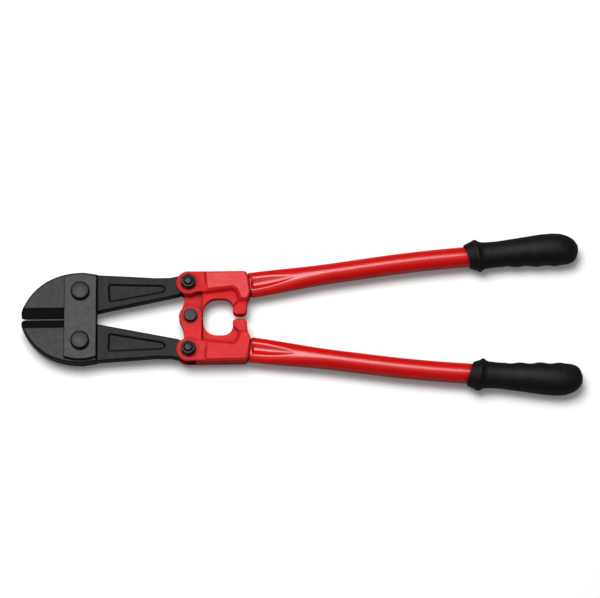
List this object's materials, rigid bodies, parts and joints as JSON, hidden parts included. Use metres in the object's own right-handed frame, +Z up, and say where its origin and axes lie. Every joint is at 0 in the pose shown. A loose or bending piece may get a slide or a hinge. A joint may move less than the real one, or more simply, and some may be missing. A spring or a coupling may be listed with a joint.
{
  "type": "bolt cutters",
  "caption": "Long-handled compound-action cutters: bevelled jaws tied by clip plates, forged pivoting handle heads, tubular handles and moulded rubber grips.",
  "frame": {"origin": "centre of the bounding box's bottom face, on the surface the closed tool lies on", "axes": "+X from the jaws to the grips, +Y towards the upper handle, +Z up, square to the jaws' faces"},
  "size_m": [0.6096, 0.1846, 0.0358],
  "materials": {
    "jaw_steel": "black oxide, satin",
    "clip_steel": "black oxide, satin",
    "fastener_steel": "black oxide, satin",
    "red_forging": "semi-gloss enamel",
    "red_tube": "gloss enamel",
    "grip_rubber": "moulded, satin"
  },
  "bodies": {
    "lower_handle": {"lower_handle_head": "red_forging", "lower_handle_tube": "red_tube", "lower_grip": "grip_rubber", "lower_jaw_bolt": "fastener_steel", "lower_jaw_washer": "fastener_steel", "lower_jaw_nut": "fastener_steel", "centre_bolt": "fastener_steel", "centre_washer": "fastener_steel", "centre_nut": "fastener_steel"},
    "upper_handle": {"upper_handle_head": "red_forging", "upper_handle_tube": "red_tube", "upper_grip": "grip_rubber", "upper_jaw_bolt": "fastener_steel", "upper_jaw_washer": "fastener_steel", "upper_jaw_nut": "fastener_steel"},
    "lower_jaw": {"lower_jaw": "jaw_steel"},
    "upper_jaw": {"upper_jaw": "jaw_steel"},
    "clips": {"front_clip": "clip_steel", "rear_clip": "clip_steel", "upper_clip_bolt": "fastener_steel", "lower_clip_bolt": "fastener_steel", "upper_clip_nut": "fastener_steel", "lower_clip_nut": "fastener_steel"}
  },
  "joints": [
    {"name": "handle_pivot", "type": "hinge", "parent": "lower_handle", "child": "upper_handle", "pos_m": [-0.12041, 0, 0.0175], "axis": [0, 0, 1], "range_deg": [-1.6, 100]},
    {"name": "lower_jaw_pivot", "type": "hinge", "parent": "lower_handle", "child": "lower_jaw", "pos_m": [-0.12261, -0.0383, 0.0175], "axis": [0, 0, 1], "range_deg": [-1, 57.6]},
    {"name": "upper_jaw_pivot", "type": "hinge", "parent": "upper_handle", "child": "upper_jaw", "pos_m": [-0.12261, 0.0383, 0.0175], "axis": [0, 0, 1], "range_deg": [-57.6, 1]},
    {"name": "clip_pivot", "type": "hinge", "parent": "lower_jaw", "child": "clips", "pos_m": [-0.24041, -0.0284, 0.0175], "axis": [0, 0, 1], "range_deg": [-7.6, 0.2]}
  ],
  "couplings": [
    {"joint": "lower_jaw_pivot", "follows": "handle_pivot", "ratio": 0.57454},
    {"joint": "upper_jaw_pivot", "follows": "handle_pivot", "ratio": -0.57454},
    {"joint": "clip_pivot", "follows": "handle_pivot", "ratio": -0.074543}
  ]
}
